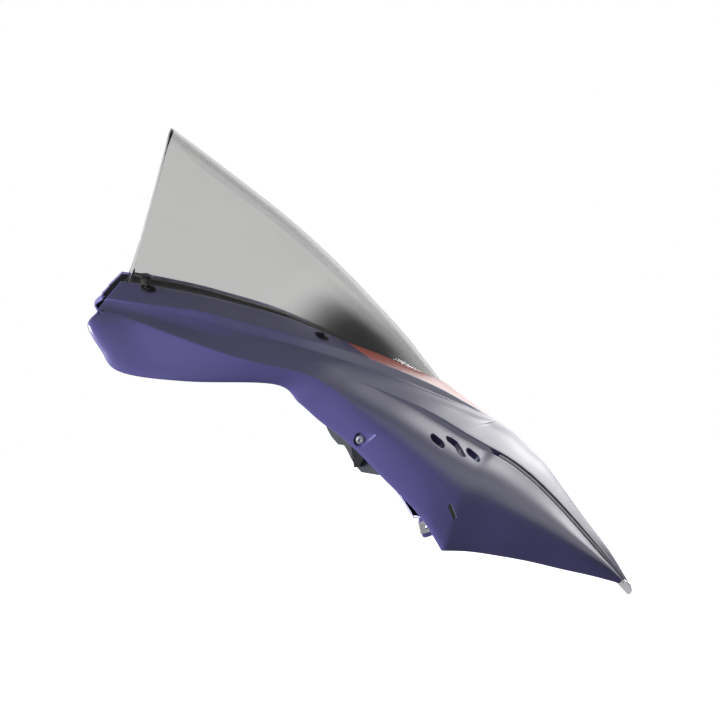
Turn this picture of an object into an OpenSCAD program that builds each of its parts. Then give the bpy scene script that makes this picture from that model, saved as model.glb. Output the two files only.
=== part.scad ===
// Upper front cowl of a sport motorcycle with its smoked windscreen, millimetres.
// +X points to the nose, +Y to the left side, +Z up. The part is symmetric about Y = 0.
// The origin is the centre of the bolt pattern on the rear face of the front stay.

/* [Cowl] */
// Wall thickness of the moulded cowl
cowl_t = 3; // [2.4:0.1:3.6]
// Depth of the return lip along the lower edge
lip_in = 6; // [4:0.5:7]
// Height of the step between the top panel and the side panel
step_h = 4; // [2:0.25:5]
// Depth of the channel that takes the lens strip
channel_d = 6.5; // [5:0.25:7]
// Columns of facets between two guide stations
cols = 2; // [2:1:3]

/* [Windscreen] */
// Sheet thickness of the windscreen
screen_t = 3; // [2:0.25:4]
// Gap between windscreen and cowl strip, filled by the foam pads
pad_gap = 1.5; // [1.3:0.1:1.8]
// Width of the windscreen margin under the cowl strip
screen_lap = 28; // [24:1:32]
// How square the arch of the windscreen is
arch = 0.85; // [0.6:0.05:1]

/* [Screen fasteners] */
// Shank diameter of the screen screws
scr_d = 5; // [4:0.5:6]
// Head diameter of the screen screws
scr_head_d = 9.5; // [8:0.5:11]
// Head height of the screen screws
scr_head_h = 2.8; // [2:0.2:3.5]
// Shank length of the screen screws
scr_len = 22; // [18:1:26]
// Outer diameter of the washers under the screw heads
washer_d = 17; // [14:0.5:18]
// Thickness of the washers
washer_t = 1.2; // [0.8:0.1:2]
// Body diameter of the rubber well nuts
well_d = 10; // [9:0.5:12]
// Flange diameter of the rubber well nuts
well_flange_d = 15; // [13:0.5:17]
// Body length of the rubber well nuts
well_len = 12; // [10:0.5:14]

/* [Side fasteners] */
// Shank diameter of the side screws
side_d = 6; // [5:0.5:6]
// Head diameter of the side screws
side_head_d = 10; // [8:0.5:11]
// Depth of the teardrop recess round the side screws
side_recess = 2.6; // [1.8:0.2:3]
// Distance from the cowl face to the stay ears
ear_in = 8; // [7.5:0.25:9]

/* [Mirror openings] */
// Length of the two oval openings
oval_l = 22; // [18:1:24]
// Width of the two oval openings
oval_w = 13; // [9:0.5:14]
// Depth of the collars inside the openings
collar_d = 10; // [6:0.5:12]
// Wall of the collars
collar_w = 2; // [1.6:0.2:2.4]

/* [Front stay] */
// Width of the centre plate
plate_w = 90; // [80:2:110]
// Height of the centre plate
plate_h = 60; // [54:2:70]
// Thickness of the stay plates
plate_t = 4; // [3:0.5:5]
// Diameter of the four mounting holes
hole_d = 8.5; // [6.5:0.5:9]
// Hole spacing across the part
hole_y = 60; // [50:2:70]
// Hole spacing up and down
hole_z = 36; // [30:2:44]
// Height of the cross bar
bar_h = 22; // [16:1:26]

/* [Small parts] */
// Sheet thickness of the inner tray
tray_t = 2.5; // [2:0.25:3]
// Sheet thickness of the spring clips on the lower tabs
clip_t = 1; // [0.8:0.1:1.2]

/* [Hidden] */

// Guide curves of the right-hand half, rear to front, read by eye: opening edge, upper and lower line of the strip
// step, line between top and side panel, chine, lower edge.
R0 = [[-283, -142, 172], [-251, -140, 167], [-195, -131, 156], [-146, -119, 143], [-98, -105, 129], [-59, -90, 113],
      [-20, -73, 96], [20, -55, 80], [53, -38, 65], [82, -21, 52], [104, 0, 42]];
S1 = [[-299, -182, 155], [-252, -182, 148], [-189, -172, 138], [-141, -158, 125], [-87, -141, 109], [-48, -125, 97],
      [-6, -105, 81], [44, -80, 61], [89, -54, 40], [125, -30, 20], [163, 0, -3]];
T = [[-300, -183, 153], [-252, -184, 145], [-189, -175, 128], [-141, -162, 113], [-88, -145, 98], [-49, -129, 85],
     [-7, -109, 71], [43, -84, 52], [88, -57, 32], [125, -32, 15], [165, 0, -4], [184, 0, -17], [205, 0, -37],
     [225, 0, -56], [249, 0, -88], [278, 0, -128], [307, 0, -166], [331, 0, -205]];
S2 = [[-303, -190, 149], [-263, -192, 139], [-214, -187, 123], [-164, -181, 107], [-110, -171, 91], [-65, -158, 79],
      [-27, -144, 62], [12, -128, 45], [52, -114, 27], [82, -103, 11], [116, -90, -10], [145, -78, -27],
      [175, -65, -45], [204, -54, -68], [237, -40, -100], [272, -25, -138], [304, -12, -175], [326, -4, -202]];
C = [[-307, -198, 145], [-274, -207, 134], [-242, -208, 122], [-191, -205, 102], [-143, -197, 86], [-82, -180, 70],
     [-53, -172, 55], [-22, -166, 31], [12, -158, 7], [46, -150, -19], [80, -140, -42], [110, -128, -59],
     [142, -112, -76], [181, -93, -103], [222, -71, -128], [266, -46, -156], [298, -25, -180], [322, -7, -203]];
L = [[-309, -202, 142], [-318, -222, 129], [-304, -222, 101], [-284, -218, 77], [-215, -207, 65], [-115, -179, 58],
     [-86, -171, 36], [-63, -164, 15], [-30, -157, -11], [11, -148, -53], [54, -138, -98], [82, -126, -141],
     [117, -108, -146], [155, -90, -155], [195, -70, -166], [238, -48, -180], [281, -28, -193], [318, -9, -206]];
// Guide curve of the windscreen: its ridge.
RIDGE = [[-223, 0, 346], [-184, 0, 317], [-137, 0, 281], [-90, 0, 244], [-48, 0, 207], [-10, 0, 170], [24, 0, 134],
         [54, 0, 101], [76, 0, 73], [90, 0, 55]];
function unit(v) = norm(v) > 1e-9 ? v / norm(v) : v;
function mir(p) = [p[0], -p[1], p[2]];
function sm(x, a, b) = let (t = min(max((x - a) / (b - a), 0), 1)) t * t * (3 - 2 * t);
function herm(p, q, a, b, f) =
    (2 * f * f * f - 3 * f * f + 1) * p + (f * f * f - 2 * f * f + f) * a + (3 * f * f - 2 * f * f * f) * q + (f * f * f - f * f) * b;
function cr(k, u, lo, hi, sym = false) =
    let (n = hi - lo, t = min(max(u - lo, 0), n), i = min(floor(t), n - 1), p = k[lo + i], q = k[lo + i + 1],
         a = i > 0 ? k[lo + i - 1] : 2 * p - q,
         b = i + 2 <= n ? k[lo + i + 2] : (sym ? mir(p) : 2 * q - p))
    herm(p, q, (q - a) / 2, (b - p) / 2, t - i);

function r0(u) = cr(R0, u, 0, 10, true);
function s1(u) = cr(S1, u, 0, 10, true);
function rt(u) = u <= 10 ? cr(T, u, 0, 10, true) : cr(T, u, 10, 17);
function rl(u) = u <= 11 ? cr(L, u, 0, 11) : cr(L, u, 11, 17);
function s2(u) = cr(S2, u, 0, 17);
function rc(u) = cr(C, u, 0, 17);
// fade of all small detail toward the tip
function tip(u) = 1 - 0.65 * sm(u, 15, 17);

NT = 5; // rows of facets from strip step to panel line
NM = 4; // rows from panel line to chine
NL = 4; // rows from chine to lower edge
NR = 3 + NT + 1 + 3 + NM + NL + 2;

// direction across the panels at the panel line
function ds(u) = unit(unit(s2(u) - rt(u)) + unit(rc(u) - s2(u)));
// outward normal at the panel line
function ns(u) = unit(cross(ds(u), s2(min(u + 0.05, 17)) - s2(max(u - 0.05, 0))));
function chan(u) = sm(u, 11, 11.4) * tip(u);
function band(u) = (1.5 + 6 * sm(u, 6, 9.5)) * tip(u);
function drop(u) = step_h * sm(u, 6, 9.5) * tip(u);
function lane(u, f, d) = s2(u) + ds(u) * f * band(u) - ns(u) * d;
function pan_lo(u) = lane(u, 1, drop(u) * (1 - 0.5 * sm(u, 11, 11.4)));

function column(u) =
    let (t = rt(u), s = s2(u), c = rc(u), l = rl(u), dts = unit(s - t), dsc = unit(c - s), dcl = unit(l - c),
         k = sm(10 - u, 0, 5), d0 = unit((1 - k) * [0, -1, 0] + k * dts), w = sm(u, 5, 8), m = unit(dsc + dcl),
         ci = unit((1 - w) * dsc + w * m), co = unit((1 - w) * dcl + w * m), deep = drop(u) + (channel_d - step_h) * chan(u),
         lo = pan_lo(u), e = unit(0.6 * unit(c - lo) + 0.4 * ds(u)),
         nl = unit(cross(dcl, rl(min(u + 0.05, 17)) - rl(max(u - 0.05, 0)))))
    concat([for (i = [0:NT - 1]) herm(t, s, d0 * norm(s - t), ds(u) * norm(s - t), i / NT)],
           [s, lane(u, 0.2, drop(u) * 0.3 + (deep - drop(u) * 0.3) * chan(u)), lane(u, 0.88, drop(u) * 0.95 + (deep - drop(u) * 0.95) * chan(u)), lo],
           [for (i = [1:NM - 1]) herm(lo, c, e * norm(c - lo), ci * norm(c - lo), i / NM)],
           [for (i = [0:NL - 1]) herm(c, l, co * norm(l - c), dcl * norm(l - c), i / NL)],
           [l, l + (dcl * 1 - nl * 2) * tip(u), l - nl * lip_in * (1 - 0.8 * sm(u, 15, 17))]);
function strip(u) = [r0(u), (r0(u) + s1(u)) / 2, s1(u)];

US = [for (j = [0:16]) for (i = [0:cols - 1]) j + i / cols, 17];
NU = len(US);
NC = 10 * cols;
GRID = [for (u = US) concat(u <= 10 ? strip(u) : [rt(u), rt(u), rt(u)], column(u))];

function on_mid(c, r) = (c >= NC && r <= 3);
function nrm(g, c, r) =
    let (nu = len(g), nr = len(g[0]), cen = on_mid(c, r),
         a = (cen && c == NC && r < 3) ? [0, 1, 0]
             : (cen && c == NC) ? g[c + 1][3] - g[c][2]
             : g[min(c + 1, nu - 1)][r] - g[max(c - 1, 0)][r],
         b = (cen && r == 3) ? [0, -1, 0] : g[c][min(r + 1, nr - 1)] - g[c][max(r - 1, 0)])
    unit(cross(b, a));
function wall(u) = cowl_t * (1 - 0.6 * sm(u, 15, 17));
INNER = [for (c = [0:NU - 1]) [for (r = [0:NR - 1]) GRID[c][r] - nrm(GRID, c, r) * wall(US[c])]];

function cid(s, k, c, r) = let (rr = (c > NC && r < 3) ? 3 : r, ss = on_mid(c, rr) ? 0 : s) ((ss * 2 + k) * NU + c) * NR + rr;
function flip(f, s) = s == 0 ? f : [f[2], f[1], f[0]];
function quad(a, b, c, d, s) = [flip([a, b, c], s), flip([a, c, d], s)];

function cowl_points() = [for (s = [0, 1]) for (g = [GRID, INNER]) for (c = [0:NU - 1]) for (r = [0:NR - 1]) s == 0 ? g[c][r] : mir(g[c][r])];
function cowl_faces() = [for (s = [0, 1]) each concat(
    [for (c = [0:NU - 2]) for (r = [0:NR - 2]) if (r >= 3 || c < NC) each concat(
        quad(cid(s, 0, c, r), cid(s, 0, c + 1, r), cid(s, 0, c + 1, r + 1), cid(s, 0, c, r + 1), s),
        quad(cid(s, 1, c, r + 1), cid(s, 1, c + 1, r + 1), cid(s, 1, c + 1, r), cid(s, 1, c, r), s))],
    [for (c = [0:NC - 1]) each quad(cid(s, 0, c + 1, 0), cid(s, 0, c, 0), cid(s, 1, c, 0), cid(s, 1, c + 1, 0), s)],
    [for (r = [0:NR - 2]) each quad(cid(s, 0, 0, r), cid(s, 0, 0, r + 1), cid(s, 1, 0, r + 1), cid(s, 1, 0, r), s)],
    [for (c = [0:NU - 2]) each quad(cid(s, 0, c, NR - 1), cid(s, 0, c + 1, NR - 1), cid(s, 1, c + 1, NR - 1), cid(s, 1, c, NR - 1), s)],
    [for (r = [3:NR - 2]) each quad(cid(s, 0, NU - 1, r + 1), cid(s, 0, NU - 1, r), cid(s, 1, NU - 1, r), cid(s, 1, NU - 1, r + 1), s)])];

// A local frame on the surface: z along the outward normal n, x along the direction d.
module on(p, n, d) {
    z = unit(n);
    x = unit(d - z * (d * z));
    y = cross(z, x);
    multmatrix([[x[0], y[0], z[0], p[0]], [x[1], y[1], z[1], p[1]], [x[2], y[2], z[2], p[2]], [0, 0, 0, 1]]) children();
}
module both() {
    children();
    mirror([0, 1, 0]) children();
}

// Places on the strip for the screen fasteners: station along the strip and fraction across it.
SCREWS = [[0.95, 0.2], [4.95, 0.475]];
function on_strip(q) = r0(q[0]) * (1 - q[1]) + s1(q[0]) * q[1];
function strip_n(u) = unit(cross(s1(u) - r0(u), r0(min(u + 0.1, 9.99)) - r0(max(u - 0.1, 0))));
function strip_n2(q) = unit(cross(s1(q[0]) - r0(q[0]), on_strip([q[0] + 0.1, q[1]]) - on_strip([q[0] - 0.1, q[1]])));
module at_screw(i) on(on_strip(SCREWS[i]) + strip_n2(SCREWS[i]) * 0.25, strip_n2(SCREWS[i]), [1, 0, 0]) children();
module at_screws() both() { at_screw(0) children(); at_screw(1) children(); }

// Side screw, mirror openings, small slot and lower tab on the side panels.
SIDE_P = [-17.5, -157.7, -8];
SIDE_N = [-0.03, -0.963, -0.268];
MIRROR_N = [0.57, -0.585, 0.577];
MIRROR_D = [48, 29, -18.5];
OVAL_D = [0.76, 0.115, -0.64];
OVAL_A = [76, -127.7, -13];
OVAL_S = [100, -113.5, -22.5];
OVAL_B = [121.5, -103, -33];
SLOT_P = [92, -132.5, -95];
SLOT_N = [0.186, -0.963, -0.197];
TAB_P = [66, -133, -113];
TAB_N = [0.194, -0.969, -0.156];
TAB_D = [0.25, 0, -0.97];
module at_side() on(SIDE_P, SIDE_N, [1, 0, 0]) children();

// outlines of the openings, each a closed run of points
function arc(x, y, r, a, b, n) = [for (i = [0:n]) [x + r * cos(a + (b - a) * i / n), y + r * sin(a + (b - a) * i / n)]];
module oval(l, w) polygon(concat(arc((l - w) / 2, 0, w / 2, -90, 90, 8), arc((w - l) / 2, 0, w / 2, 90, 270, 8)));
module zig(g) offset_poly([[-14, 8], [-13.5, 11.5], [-11, 13], [-3, 12.5], [5, 9], [9, 2], [13, -9], [11, -10.5], [5, -12], [0, -10], [-2, -2], [-7, 2], [-13, 5]], g);
module offset_poly(p, g) {
    n = len(p);
    polygon([for (i = [0:n - 1]) let (a = unit(p[i] - p[(i + n - 1) % n]), b = unit(p[(i + 1) % n] - p[i]), m = unit([-a[1] - b[1], a[0] + b[0]])) p[i] + m * g]);
}
module recess(r) polygon(concat(arc(0, 0, r, 140, 320, 12), [[16, 5], [17, 6], [16.5, 7], [-2, 9], [-4, 8]]));
module mirror_sleeves() {
    on(OVAL_A, MIRROR_N, OVAL_D) translate([0, 0, -collar_d]) linear_extrude(collar_d - 1.2) oval(oval_l + 2 * collar_w, oval_w + 2 * collar_w);
    on(OVAL_S, MIRROR_N, MIRROR_D) translate([0, 0, -collar_d]) linear_extrude(collar_d - 1.2) zig(collar_w);
    on(OVAL_B, MIRROR_N, OVAL_D) translate([0, 0, -collar_d]) linear_extrude(collar_d - 1.2) oval(oval_l + 2 * collar_w, oval_w + 2 * collar_w);
}
module mirror_holes() {
    on(OVAL_A, MIRROR_N, OVAL_D) translate([0, 0, -collar_d - 4]) linear_extrude(collar_d + 12) oval(oval_l, oval_w);
    on(OVAL_S, MIRROR_N, MIRROR_D) translate([0, 0, -collar_d - 4]) linear_extrude(collar_d + 12) zig(0);
    on(OVAL_B, MIRROR_N, OVAL_D) translate([0, 0, -collar_d - 4]) linear_extrude(collar_d + 12) oval(oval_l, oval_w);
}

// One-piece moulded cowl: strip round the screen opening, top panel, side panels, ears and lower lip, with the
// collars of the mirror openings, the bosses of the side screws and the two lower tabs moulded on.
module cowl() {
    color([0.34, 0.31, 0.57]) difference() {
        union() {
            polyhedron(cowl_points(), cowl_faces(), convexity = 12);
            both() {
                mirror_sleeves();
                at_side() translate([0, 0, -ear_in]) cylinder(d = 17, h = ear_in - 1.8, $fn = 48);
                at_side() translate([0, 0, -side_recess - 2.4]) linear_extrude(side_recess + 0.8)
                    polygon([[-5, -8.5], [5, -8.5], [19, 3], [19.5, 6], [18, 9], [-2, 11.5], [-6.5, 9], [-8.5, 4], [-8.5, -3]]);
            }
            on(TAB_P, TAB_N, [1, 0, 0]) {
                translate([0, 0, -11]) linear_extrude(3) polygon([[-11, 9], [-5, -15], [6, -13], [14, 4], [10, 14], [0, 16]]);
                translate([3, 2, -9]) cube([9, 10, 7.2]);
            }
        }
        both() {
            mirror_holes();
            on(SLOT_P, SLOT_N, [0.42, 0, -0.9]) translate([-10, -2.5, -12]) cube([20, 5, 24]);
            at_side() translate([0, 0, -side_recess]) linear_extrude(10) recess(side_head_d / 2 + 1.5);
            at_side() translate([0, 0, -30]) cylinder(d = side_d + 0.6, h = 40, $fn = 48);
            at_screw(0) translate([0, 0, -8]) cylinder(d = scr_d + 0.8, h = 16, $fn = 40);
            at_screw(1) translate([0, 0, -8]) cylinder(d = scr_d + 0.8, h = 16, $fn = 40);
        }
        on(TAB_P, TAB_N, TAB_D) translate([1, -1, -14]) cylinder(d = 6, h = 7, $fn = 36);
    }
}

// Windscreen: an arched sheet whose margin runs under the strip of the cowl.
SR = 9; // rows from ridge to strip
// the sheet ends a little ahead of the rear end of the strip
function st(u) = u < 2 ? 0.25 + u * 0.875 : u;
function side(u) = r0(st(u));
function lap_d(u) = unit(s1(st(u)) - r0(st(u)));
function lap_n(u) = u > 9.99 ? unit(cross(s1(10) - r0(10), [0, 1, 0])) : strip_n(st(u));
function under(u) = side(u) - lap_n(u) * (cowl_t + pad_gap);
RIDGE2 = concat(RIDGE, [under(10)]);
function screen_row(u) =
    let (a = cr(RIDGE2, u, 0, 10), b = under(u), w = abs(b[1]), h = norm([b[0] - a[0], 0, b[2] - a[2]]), p = a - [0, w * arch, 0], q = b - lap_d(u) * h * 0.22)
    concat([for (i = [0:SR]) let (t = i / SR) u > 9.99 ? b : (1 - t) ^ 3 * a + 3 * (1 - t) ^ 2 * t * p + 3 * (1 - t) * t * t * q + t ^ 3 * b],
           [b + lap_d(u) * screen_lap / 2, b + lap_d(u) * screen_lap]);
VS = [for (j = [0:9]) for (i = [0:cols - 1]) j + i / cols, 10];
NV = len(VS);
NS = SR + 3;
SG = [for (u = VS) screen_row(u)];
function sn(c, r) =
    let (a = (c == NV - 1) ? [0, 1, 0] : SG[c + 1][r] - SG[max(c - 1, 0)][r],
         b = (c == NV - 1) ? lap_d(10) : r == 0 ? [0, -1, 0] : SG[c][min(r + 1, NS - 1)] - SG[c][r - 1])
    unit(cross(b, a));
SI = [for (c = [0:NV - 1]) [for (r = [0:NS - 1]) SG[c][r] - sn(c, r) * screen_t]];
function scr_mid(c, r) = r == 0 || c == NV - 1;
function sid(s, k, c, r) = let (rr = (c == NV - 1 && r < SR) ? SR : r, ss = scr_mid(c, rr) ? 0 : s) ((ss * 2 + k) * NV + c) * NS + rr;
function scr_points() = [for (s = [0, 1]) for (g = [SG, SI]) for (c = [0:NV - 1]) for (r = [0:NS - 1]) s == 0 ? g[c][r] : mir(g[c][r])];
function good(f) = [for (t = f) if (t[0] != t[1] && t[1] != t[2] && t[0] != t[2]) t];
function scr_faces() = [for (s = [0, 1]) each concat(
    [for (c = [0:NV - 2]) for (r = [0:NS - 2]) each good(concat(
        quad(sid(s, 0, c, r), sid(s, 0, c + 1, r), sid(s, 0, c + 1, r + 1), sid(s, 0, c, r + 1), s),
        quad(sid(s, 1, c, r + 1), sid(s, 1, c + 1, r + 1), sid(s, 1, c + 1, r), sid(s, 1, c, r), s)))],
    [for (r = [0:NS - 2]) each quad(sid(s, 0, 0, r), sid(s, 0, 0, r + 1), sid(s, 1, 0, r + 1), sid(s, 1, 0, r), s)],
    [for (c = [0:NV - 2]) each quad(sid(s, 0, c, NS - 1), sid(s, 0, c + 1, NS - 1), sid(s, 1, c + 1, NS - 1), sid(s, 1, c, NS - 1), s)])];
module windscreen() {
    color([0.45, 0.45, 0.45, 0.5]) difference() {
        polyhedron(scr_points(), scr_faces(), convexity = 8);
        at_screws() translate([0, 0, -cowl_t - pad_gap - screen_t - 8]) cylinder(d = scr_d + 1, h = screen_t + 14, $fn = 40);
    }
}

// A closed bar swept through a list of four-cornered sections.
module sweep(secs) {
    n = len(secs);
    polyhedron([for (s = secs) each s],
        concat([[0, 1, 2], [0, 2, 3]], [for (i = [0:n - 2]) for (k = [0:3]) each
            [[4 * i + k, 4 * i + 4 + k, 4 * i + (k + 1) % 4], [4 * i + (k + 1) % 4, 4 * i + 4 + k, 4 * i + 4 + (k + 1) % 4]]],
            [[4 * n - 2, 4 * n - 3, 4 * n - 4], [4 * n - 1, 4 * n - 2, 4 * n - 4]]), convexity = 6);
}
// Foam pads between windscreen and strip.
function pad_sec(u, a, b) = let (g = pad_gap - 0.5) [
    side(u) - lap_n(u) * (cowl_t + 0.32) + lap_d(u) * a, side(u) - lap_n(u) * (cowl_t + 0.32) + lap_d(u) * b,
    side(u) - lap_n(u) * (cowl_t + g) + lap_d(u) * b, side(u) - lap_n(u) * (cowl_t + g) + lap_d(u) * a];
module pads(lo, hi, a, b, i, n) {
    color([0.06, 0.06, 0.07]) both() difference() {
        sweep([for (k = [0:n]) pad_sec(lo + (hi - lo) * k / n, a, b)]);
        at_screw(i) translate([0, 0, -16]) cylinder(d = scr_d + 1.4, h = 20, $fn = 40);
    }
}
module rear_pads() pads(0.5, 2, -1.5, 19, 0, 3);
module front_pads() pads(4.5, 5.5, 3, 26, 1, 2);

module screen_screws() {
    color([0.12, 0.12, 0.13]) at_screws() {
        difference() {
            translate([0, 0, washer_t]) intersection() {
                cylinder(d = scr_head_d, h = scr_head_h, $fn = 48);
                translate([0, 0, scr_head_h - 9]) sphere(r = 9, $fn = 64);
            }
            translate([0, 0, washer_t + 1.1]) cylinder(d = 3.6, h = 6, $fn = 6);
        }
        translate([0, 0, washer_t + 0.5 - scr_len]) cylinder(d = scr_d, h = scr_len, $fn = 40);
    }
}
module screen_washers() {
    color([0.05, 0.05, 0.05]) at_screws() difference() {
        cylinder(d = washer_d, h = washer_t, $fn = 60);
        translate([0, 0, -1]) cylinder(d = scr_d + 0.4, h = washer_t + 2, $fn = 40);
    }
}
WELL_Z = cowl_t + pad_gap + screen_t + 0.7;
module well_nuts() {
    color([0.08, 0.08, 0.08]) at_screws() difference() {
        union() {
            translate([0, 0, -WELL_Z - 1.5]) cylinder(d = well_flange_d, h = 1.5, $fn = 48);
            translate([0, 0, -WELL_Z - well_len]) cylinder(d = well_d, h = well_len - 0.5, $fn = 48);
        }
        translate([0, 0, -WELL_Z - 5]) cylinder(d = scr_d + 0.4, h = 8, $fn = 40);
        translate([0, 0, -WELL_Z - well_len - 1]) cylinder(d = 7, h = well_len - 3.5, $fn = 40);
    }
}
module well_nut_inserts() {
    color([0.75, 0.6, 0.3]) at_screws() difference() {
        translate([0, 0, -WELL_Z - well_len - 0.5]) cylinder(d = 7, h = well_len - 4, $fn = 40);
        translate([0, 0, -WELL_Z - well_len - 2]) cylinder(d = scr_d + 0.1, h = well_len + 4, $fn = 40);
    }
}

// Clear lens: one strip in the channel of each side, joined by a block under the tip.
function lens_sec(u) = let (k = sm(u, 14, 16.5), d = (drop(u) + (channel_d - step_h) * chan(u) - 0.5) * (1 - 0.35 * k), a = 0.3 + 0.12 * k, b = 0.78 - 0.14 * k) [
    lane(u, a, 0.8 * tip(u) * (1 - k)), lane(u, b, 2 * tip(u) * (1 - k)), lane(u, b, d), lane(u, a, d)];
module nose_lens() {
    color([0.85, 0.87, 0.9, 0.6]) union() {
        both() sweep(concat([for (k = [0:11]) lens_sec(11.5 + 5.5 * k / 11)],
            [[for (p = lens_sec(17)) p + [4.5, 1.5, -7]]]));
        hull() both() polyhedron([[317.5, -7, -207.3], [324.5, -3.8, -204], [331.5, -1.8, -206.9], [334, -2, -209], [336.4, -1.6, -217], [334, -1.8, -221], [330, -2.5, -221.5], [322, 0, -213]],
            [[0, 1, 7], [1, 2, 7], [2, 3, 7], [3, 4, 7], [4, 5, 7], [5, 6, 7], [6, 0, 7], [6, 5, 4], [6, 4, 3], [6, 3, 2], [6, 2, 1], [6, 1, 0]]);
    }
}

module side_screws() {
    color([0.75, 0.75, 0.77]) both() at_side() {
        difference() {
            translate([0, 0, -side_recess]) intersection() {
                cylinder(d = side_head_d, h = 3, $fn = 48);
                translate([0, 0, 3 - 9]) sphere(r = 9, $fn = 64);
            }
            translate([0, 0, 0]) cylinder(d = 4.4, h = 6, $fn = 6);
        }
        translate([0, 0, -side_recess - 18]) cylinder(d = side_d, h = 18.5, $fn = 40);
    }
}
module side_nuts() {
    color([0.7, 0.7, 0.72]) both() at_side() difference() {
        union() {
            translate([0, 0, -ear_in - plate_t - 1.2]) cylinder(d = 14, h = 1.2, $fn = 48);
            translate([0, 0, -ear_in - plate_t - 6]) cylinder(d = 11, h = 5, $fn = 6);
        }
        translate([0, 0, -30]) cylinder(d = side_d + 0.1, h = 30, $fn = 40);
    }
}

// Front stay: centre plate with the bolt pattern, cross bar and an ear behind each side screw.
module front_stay() {
    color([0.1, 0.1, 0.11]) difference() {
        union() {
            translate([0, -plate_w / 2, -plate_h / 2]) cube([plate_t, plate_w, plate_h]);
            both() {
                translate([1.5, -146, -bar_h / 2 - 4]) cube([plate_t, 146 - plate_w / 2 + 4, bar_h]);
                at_side() translate([0, 0, -ear_in - plate_t]) linear_extrude(plate_t)
                    polygon([[-11, 10], [23, 10], [23, -16], [8, -18], [-8, -10]]);
            }
            at_side() translate([0, 0, -ear_in - plate_t]) linear_extrude(plate_t) polygon([[8, -12], [8, -20], [1, -36], [-5, -37], [-9, -13], [-8, -8]]);
        }
        for (y = [-1, 1]) for (z = [-1, 1]) translate([-1, y * hole_y / 2, z * hole_z / 2]) rotate([0, 90, 0]) cylinder(d = hole_d, h = plate_t + 2, $fn = 48);
        both() at_side() translate([0, 0, -30]) cylinder(d = side_d + 0.6, h = 40, $fn = 48);
    }
}

// Inner tray: a sheet below the stay with a wing inside each side panel, riveted up to the cross bar.
TRAY_Z = -bar_h / 2 - 4.05;
module inner_tray() {
    color([0.3, 0.32, 0.36]) difference() {
        union() {
            translate([-8, -132, -42]) cube([19, 264, tray_t]);
            both() {
                translate([-6, -132, TRAY_Z - tray_t]) cube([18, 22, tray_t]);
                translate([0, -132, 0]) rotate([90, 0, 0]) linear_extrude(tray_t)
                    polygon([[-59, 18], [-53.5, 9], [-47.5, 1.5], [-41.5, -5.5], [-35, -13], [-29.5, -22], [-26, -30], [-21.5, -38], [-13.5, -47.5], [11, -52], [12, TRAY_Z], [-4, TRAY_Z], [-4, 8], [-40, 22]]);
            }
        }
        both() translate([3.5, -120, TRAY_Z - 10]) cylinder(d = 5.4, h = 12, $fn = 36);
    }
}
module tray_rivets() {
    color([0.08, 0.08, 0.08]) both() translate([3.5, -120, TRAY_Z - tray_t]) {
        translate([0, 0, -2]) cylinder(d = 10, h = 1.95, $fn = 48);
        translate([0, 0, -1]) cylinder(d = 5, h = tray_t + 0.95, $fn = 36);
    }
}
module edge_clips() {
    color([0.75, 0.76, 0.78]) on(TAB_P, TAB_N, TAB_D) difference() {
        union() {
            translate([-7, -9 - clip_t, -11 - clip_t]) cube([15, 12, clip_t]);
            translate([-7, -9 - clip_t, -8]) cube([15, 12, clip_t]);
            translate([-7, -9 - clip_t, -11 - clip_t]) cube([15, clip_t, 3 + 2 * clip_t]);
        }
        translate([1, -1, -15]) cylinder(d = 5, h = 12, $fn = 36);
    }
}

cowl();
windscreen();
nose_lens();
rear_pads();
front_pads();
screen_screws();
screen_washers();
well_nuts();
well_nut_inserts();
side_screws();
side_nuts();
front_stay();
inner_tray();
tray_rivets();
edge_clips();
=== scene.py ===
import bpy, bmesh, math
import numpy as np
from mathutils import Vector, Matrix
from mathutils.bvhtree import BVHTree


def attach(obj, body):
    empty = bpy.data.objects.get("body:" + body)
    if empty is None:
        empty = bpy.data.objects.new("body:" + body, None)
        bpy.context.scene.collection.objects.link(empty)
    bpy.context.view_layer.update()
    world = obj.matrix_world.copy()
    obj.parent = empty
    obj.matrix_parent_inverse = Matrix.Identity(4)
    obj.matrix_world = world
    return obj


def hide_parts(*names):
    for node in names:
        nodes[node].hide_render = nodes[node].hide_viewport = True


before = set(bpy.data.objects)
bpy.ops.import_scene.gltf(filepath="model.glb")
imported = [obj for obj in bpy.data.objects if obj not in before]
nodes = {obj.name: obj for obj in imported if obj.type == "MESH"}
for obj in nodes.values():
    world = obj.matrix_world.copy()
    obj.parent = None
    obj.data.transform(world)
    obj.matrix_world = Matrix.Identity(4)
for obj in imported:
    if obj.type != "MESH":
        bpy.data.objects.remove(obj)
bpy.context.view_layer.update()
scene = bpy.context.scene
MM = 0.001

# ------------------------------------------------------------------ numbers shared with the CAD source (millimetres)
COWL_T, LIP_IN, STEP_H, CHANNEL_D = 3.0, 6.0, 4.0, 6.5
SCREEN_T, PAD_GAP, LAP, ARCH = 3.0, 1.5, 28.0, 0.85
A = lambda l: np.array(l, float)
R0 = A([[-283, -142, 172], [-251, -140, 167], [-195, -131, 156], [-146, -119, 143], [-98, -105, 129], [-59, -90, 113],
        [-20, -73, 96], [20, -55, 80], [53, -38, 65], [82, -21, 52], [104, 0, 42]])
S1 = A([[-299, -182, 155], [-252, -182, 148], [-189, -172, 138], [-141, -158, 125], [-87, -141, 109], [-48, -125, 97],
        [-6, -105, 81], [44, -80, 61], [89, -54, 40], [125, -30, 20], [163, 0, -3]])
T = A([[-300, -183, 153], [-252, -184, 145], [-189, -175, 128], [-141, -162, 113], [-88, -145, 98], [-49, -129, 85],
       [-7, -109, 71], [43, -84, 52], [88, -57, 32], [125, -32, 15], [165, 0, -4], [184, 0, -17], [205, 0, -37],
       [225, 0, -56], [249, 0, -88], [278, 0, -128], [307, 0, -166], [331, 0, -205]])
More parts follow.
